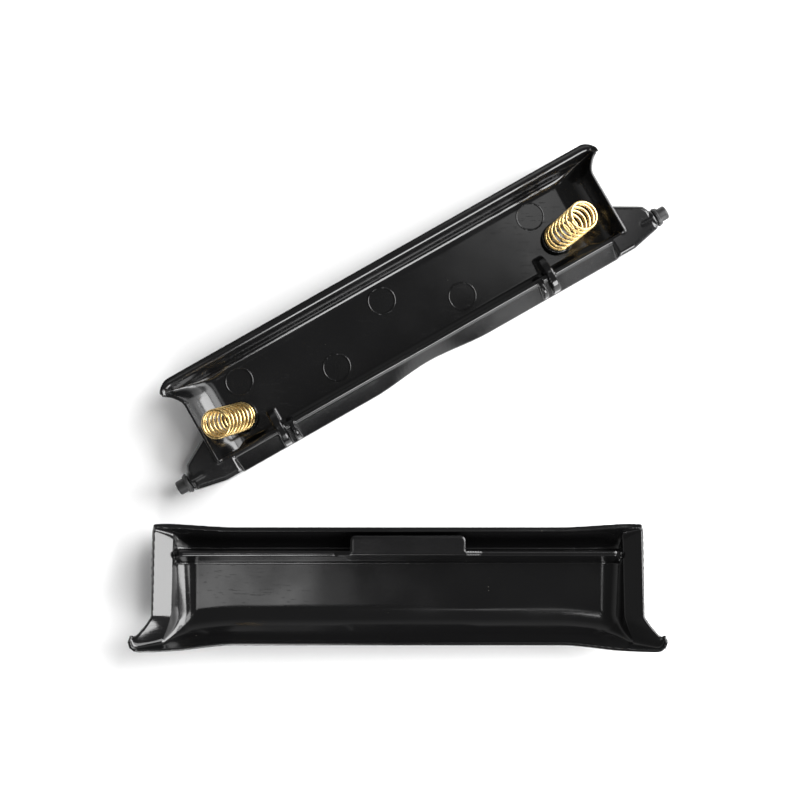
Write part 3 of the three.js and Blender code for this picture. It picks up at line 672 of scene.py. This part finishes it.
def spring_point(t):
    """A point on the spring's centre line, along z from 0, at a share of its turns."""
    radius = (SPRING["outer"] - SPRING["wire"]) / 2
    turn = SPRING["turns"] * t
    closed = SPRING["closed"] * SPRING["closed_pitch"]
    open_turns = SPRING["turns"] - 2 * SPRING["closed"]
    pitch = (SPRING["length"] - SPRING["wire"] - 2 * closed) / open_turns
    opened = min(open_turns, max(0.0, turn - SPRING["closed"]))
    height = (turn - opened) * SPRING["closed_pitch"] + opened * pitch
    angle = 2 * math.pi * turn
    return Vector((radius * math.cos(angle), radius * math.sin(angle), height))


def return_spring():
    """The spring at the +u end, standing on its tilted seat: a round wire with blunt ends."""
    around = 12
    per_turn = 36
    steps = int(SPRING["turns"] * per_turn)
    lift = Matrix.Translation((0, 0, FIT_GAP + SPRING["wire"] / 2))
    place = SPRING_BASE @ lift
    centres = [spring_point(i / steps) for i in range(steps + 1)]
    points = []
    for i, centre in enumerate(centres):
        ahead, behind = centres[min(i + 1, steps)], centres[max(i - 1, 0)]
        tangent = (ahead - behind).normalized()
        outward = Vector((centre.x, centre.y, 0)).normalized()
        up = tangent.cross(outward).normalized()
        outward = up.cross(tangent)
        for k in range(around):
            angle = 2 * math.pi * k / around
            spoke = outward * math.cos(angle) + up * math.sin(angle)
            points.append(place @ (centre + spoke * (SPRING["wire"] / 2)))
    faces = [tuple(range(around)), tuple(steps * around + k for k in range(around))]
    for i in range(steps):
        for k in range(around):
            n = (k + 1) % around
            faces.append((i * around + k, i * around + n, (i + 1) * around + n, (i + 1) * around + k))
    return mesh_object("spring", points, faces)


# ---- Materials ----

def new_material(name):
    material = bpy.data.materials.new(name)
    material.use_nodes = True
    nodes, links = material.node_tree.nodes, material.node_tree.links
    return material, nodes, links, nodes["Principled BSDF"]


def object_noise(nodes, links, scale, detail=3.0, stretch=(1, 1, 1)):
    """Noise over the piece's own coordinates, stretched along some axes."""
    place = nodes.new("ShaderNodeTexCoord")
    mapping = nodes.new("ShaderNodeMapping")
    mapping.inputs["Scale"].default_value = stretch
    links.new(place.outputs["Object"], mapping.inputs["Vector"])
    noise = nodes.new("ShaderNodeTexNoise")
    noise.inputs["Scale"].default_value = scale
    noise.inputs["Detail"].default_value = detail
    links.new(mapping.outputs["Vector"], noise.inputs["Vector"])
    return noise.outputs["Fac"]


def ranged(nodes, links, value, source, target):
    """A value mapped from one range to another and held there."""
    step = nodes.new("ShaderNodeMapRange")
    step.inputs["From Min"].default_value, step.inputs["From Max"].default_value = source
    step.inputs["To Min"].default_value, step.inputs["To Max"].default_value = target
    links.new(value, step.inputs["Value"])
    return step.outputs["Result"]


def blend_colours(nodes, links, share, first, second):
    mix = nodes.new("ShaderNodeMix")
    mix.data_type = "RGBA"
    links.new(share, mix.inputs["Factor"])
    mix.inputs["A"].default_value = (*first, 1)
    mix.inputs["B"].default_value = (*second, 1)
    return mix.outputs["Result"]


def bumps(nodes, links, layers):
    """A chain of bump nodes from (height, depth in metres) layers."""
    normal = None
    for height, depth in layers:
        bump = nodes.new("ShaderNodeBump")
        bump.inputs["Strength"].default_value = 1
        bump.inputs["Distance"].default_value = depth
        links.new(height, bump.inputs["Height"])
        if normal:
            links.new(normal, bump.inputs["Normal"])
        normal = bump.outputs["Normal"]
    return normal


def gloss_plastic():
    """Polished black moulding plastic: slight waviness, hazy patches, fine dust and hairline scuffs."""
    material, nodes, links, shader = new_material("gloss_black_plastic")
    haze = object_noise(nodes, links, 60, 4)
    dust = nodes.new("ShaderNodeTexVoronoi")
    dust.inputs["Scale"].default_value = 420
    place = nodes.new("ShaderNodeTexCoord")
    links.new(place.outputs["Object"], dust.inputs["Vector"])
    speck = ranged(nodes, links, dust.outputs["Distance"], (0.07, 0.05), (0, 1))
    settled = ranged(nodes, links, object_noise(nodes, links, 110, 2), (0.62, 0.7), (0, 1))
    dusty = nodes.new("ShaderNodeMath")
    dusty.operation = "MULTIPLY"
    links.new(speck, dusty.inputs[0])
    links.new(settled, dusty.inputs[1])
    colour = blend_colours(nodes, links, dusty.outputs["Value"], (0.0048, 0.0048, 0.005), (0.2, 0.19, 0.16))
    links.new(colour, shader.inputs["Base Color"])
    links.new(ranged(nodes, links, haze, (0.3, 0.75), (0.09, 0.2)), shader.inputs["Roughness"])
    wave = object_noise(nodes, links, 45, 1)
    scuffs = object_noise(nodes, links, 240, 2, (1, 14, 1))
    layers = [(wave, 0.00012), (ranged(nodes, links, scuffs, (0.66, 0.72), (0, 1)), 0.000003)]
    links.new(bumps(nodes, links, layers), shader.inputs["Normal"])
    shader.inputs["IOR"].default_value = 1.52
    return material


def satin_plastic():
    """Black plastic of the pins, slightly grained and worn where it turns."""
    material, nodes, links, shader = new_material("satin_black_plastic")
    grain = object_noise(nodes, links, 1800, 3)
    worn = ranged(nodes, links, object_noise(nodes, links, 260, 4), (0.45, 0.7), (0, 1))
    colour = blend_colours(nodes, links, worn, (0.012, 0.012, 0.0125), (0.03, 0.03, 0.03))
    links.new(colour, shader.inputs["Base Color"])
    links.new(ranged(nodes, links, grain, (0.3, 0.7), (0.34, 0.52)), shader.inputs["Roughness"])
    links.new(bumps(nodes, links, [(grain, 0.00003)]), shader.inputs["Normal"])
    return material


def brass_wire():
    """Drawn brass spring wire: warm metal with drawing marks and slightly browned patches."""
    material, nodes, links, shader = new_material("drawn_brass")
    tarnish = ranged(nodes, links, object_noise(nodes, links, 420, 4), (0.4, 0.72), (0, 1))
    colour = blend_colours(nodes, links, tarnish, (0.78, 0.57, 0.25), (0.5, 0.32, 0.11))
    links.new(colour, shader.inputs["Base Color"])
    drawn = object_noise(nodes, links, 1500, 3)
    links.new(ranged(nodes, links, drawn, (0.3, 0.7), (0.2, 0.36)), shader.inputs["Roughness"])
    links.new(bumps(nodes, links, [(drawn, 0.00002)]), shader.inputs["Normal"])
    shader.inputs["Metallic"].default_value = 1
    return material


def table_paper():
    """Matt white table top with a faint paper tooth."""
    material, nodes, links, shader = new_material("table_white")
    tooth = object_noise(nodes, links, 900, 3)
    colour = blend_colours(nodes, links, tooth, (0.93, 0.93, 0.93), (0.96, 0.96, 0.96))
    links.new(colour, shader.inputs["Base Color"])
    shader.inputs["Roughness"].default_value = 0.9
    shader.inputs["Specular IOR Level"].default_value = 0.1
    return material


# ---- Stage ----

def add_camera():
    data = bpy.data.cameras.new("camera")
    camera = bpy.data.objects.new("camera", data)
    bpy.context.collection.objects.link(camera)
    data.sensor_width = SENSOR
    data.lens = SENSOR * DISTANCE / FIELD
    data.clip_start = NEAREST
    tilt = math.radians(TILT)
    back = Vector((0, -math.sin(tilt), math.cos(tilt)))
    camera.location = (Vector(AIM) + back * DISTANCE) * MM
    camera.rotation_euler = (tilt, 0, 0)
    bpy.context.scene.camera = camera


def add_table(material):
    bpy.ops.mesh.primitive_plane_add(size=TABLE["size"], location=(0, 0, -TABLE["drop"]))
    table = bpy.context.object
    table.name = "table_top"
    table.data.materials.append(material)


def add_softbox(name, place, size, radiance, aim=(0, 0, 0)):
    """A rectangular light of an even radiance, at a place in metres, turned to an aim."""
    data = bpy.data.lights.new(name, "AREA")
    data.shape = "RECTANGLE"
    data.size, data.size_y = size
    data.energy = radiance * math.pi * size[0] * size[1]
    light = bpy.data.objects.new(name, data)
    light.location = place
    light.rotation_euler = (Vector(aim) - Vector(place)).to_track_quat("-Z", "Y").to_euler()
    light.visible_camera = False
    bpy.context.collection.objects.link(light)


def add_surroundings(overhead, horizon):
    """Even light from all round, darker overhead than at the horizon."""
    world = bpy.data.worlds.new("studio")
    bpy.context.scene.world = world
    world.use_nodes = True
    nodes, links = world.node_tree.nodes, world.node_tree.links
    place = nodes.new("ShaderNodeTexCoord")
    parts = nodes.new("ShaderNodeSeparateXYZ")
    links.new(place.outputs["Generated"], parts.inputs["Vector"])
    level = ranged(nodes, links, parts.outputs["Z"], (0, 0.55), (horizon, overhead))
    links.new(level, nodes["Background"].inputs["Strength"])
    nodes["Background"].inputs["Color"].default_value = (1, 1, 1, 1)


# ---- The object ----

def place_flap_frame():
    """From the flap's own frame in mm to the model's frame in metres."""
    joint = frame["joints"][0]
    turn = math.atan2(joint["axis"][1], joint["axis"][0])
    x, y, _ = joint["pos_m"]
    return Matrix.Translation((x, y, 0)) @ Matrix.Rotation(turn, 4, "Z") @ Matrix.Scale(MM, 4)


def centred_on(piece, node):
    """Moves a piece over the table so that the middle of its box is over that of a CAD node."""
    points = np.array([vertex.co for vertex in piece.data.vertices])
    middle = (points.min(0) + points.max(0)) / 2
    low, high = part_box(node)
    x, y, _ = (low + high) / 2
    piece.data.transform(Matrix.Translation((x - middle[0], y - middle[1], 0)))


def finished(piece, name, place, material, body, node):
    """A piece put in place with its looks, riding on its body in a CAD node's stead."""
    piece.name = name
    piece.data.name = name
    piece.data.transform(place)
    shaded(piece)
    piece.data.materials.clear()
    piece.data.materials.append(material)
    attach(piece, body)
    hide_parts(node)
    return piece


add_camera()
add_table(table_paper())
add_softbox("right_box", (0.95, 0.40, 0.42), (1.0, 0.84), 12)
add_softbox("upper_right_box", (0.55, 0.30, 0.95), (0.7, 0.45), 6)
add_softbox("front_box", (-0.12, -0.75, 0.50), (0.10, 0.7), 10)
add_softbox("front_right_box", (0.58, -0.68, 0.35), (0.42, 0.5), 12)
add_softbox("over_grip", (-0.14, -0.10, 1.0), (0.12, 0.12), 3)
add_softbox("over_flap", (0.12, 0.24, 1.0), (0.16, 0.12), 1.5)
add_surroundings(0.12, 0.7)
bpy.context.scene.view_settings.view_transform = "Standard"

gloss = gloss_plastic()
satin = satin_plastic()
brass = brass_wire()
FLAP_PLACE = place_flap_frame()

finished(flap_shell(), "flap_moulding", FLAP_PLACE, gloss, "flap", "flap_shell")
grip = grip_shell()
grip.data.transform(Matrix.Scale(MM, 4))
centred_on(grip, "grip_shell")
finished(grip, "grip_moulding", Matrix.Identity(4), gloss, "grip_base", "grip_shell")
for side in ("right", "left"):
    pieces = {
        "pivot_pin": (pivot_pin, satin, "black_satin_plastic", "grip_base"),
        "pin_collar": (pin_collar, satin, "black_satin_plastic", "grip_base"),
        "return_spring": (return_spring, brass, "brass_wire", "flap"),
    }
    for kind, (make, material, slot, body) in pieces.items():
        piece = make()
        if side == "left":
            right_piece = piece
            piece = mirrored(right_piece)
            bpy.data.objects.remove(right_piece)
        if body == "flap":
            shifted(piece, INSIDE_SHIFT)
        node = f"{side}_{kind}"
        finished(piece, f"{node}_detail", FLAP_PLACE, material, body, node)
        if kind == "return_spring":
            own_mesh(piece)
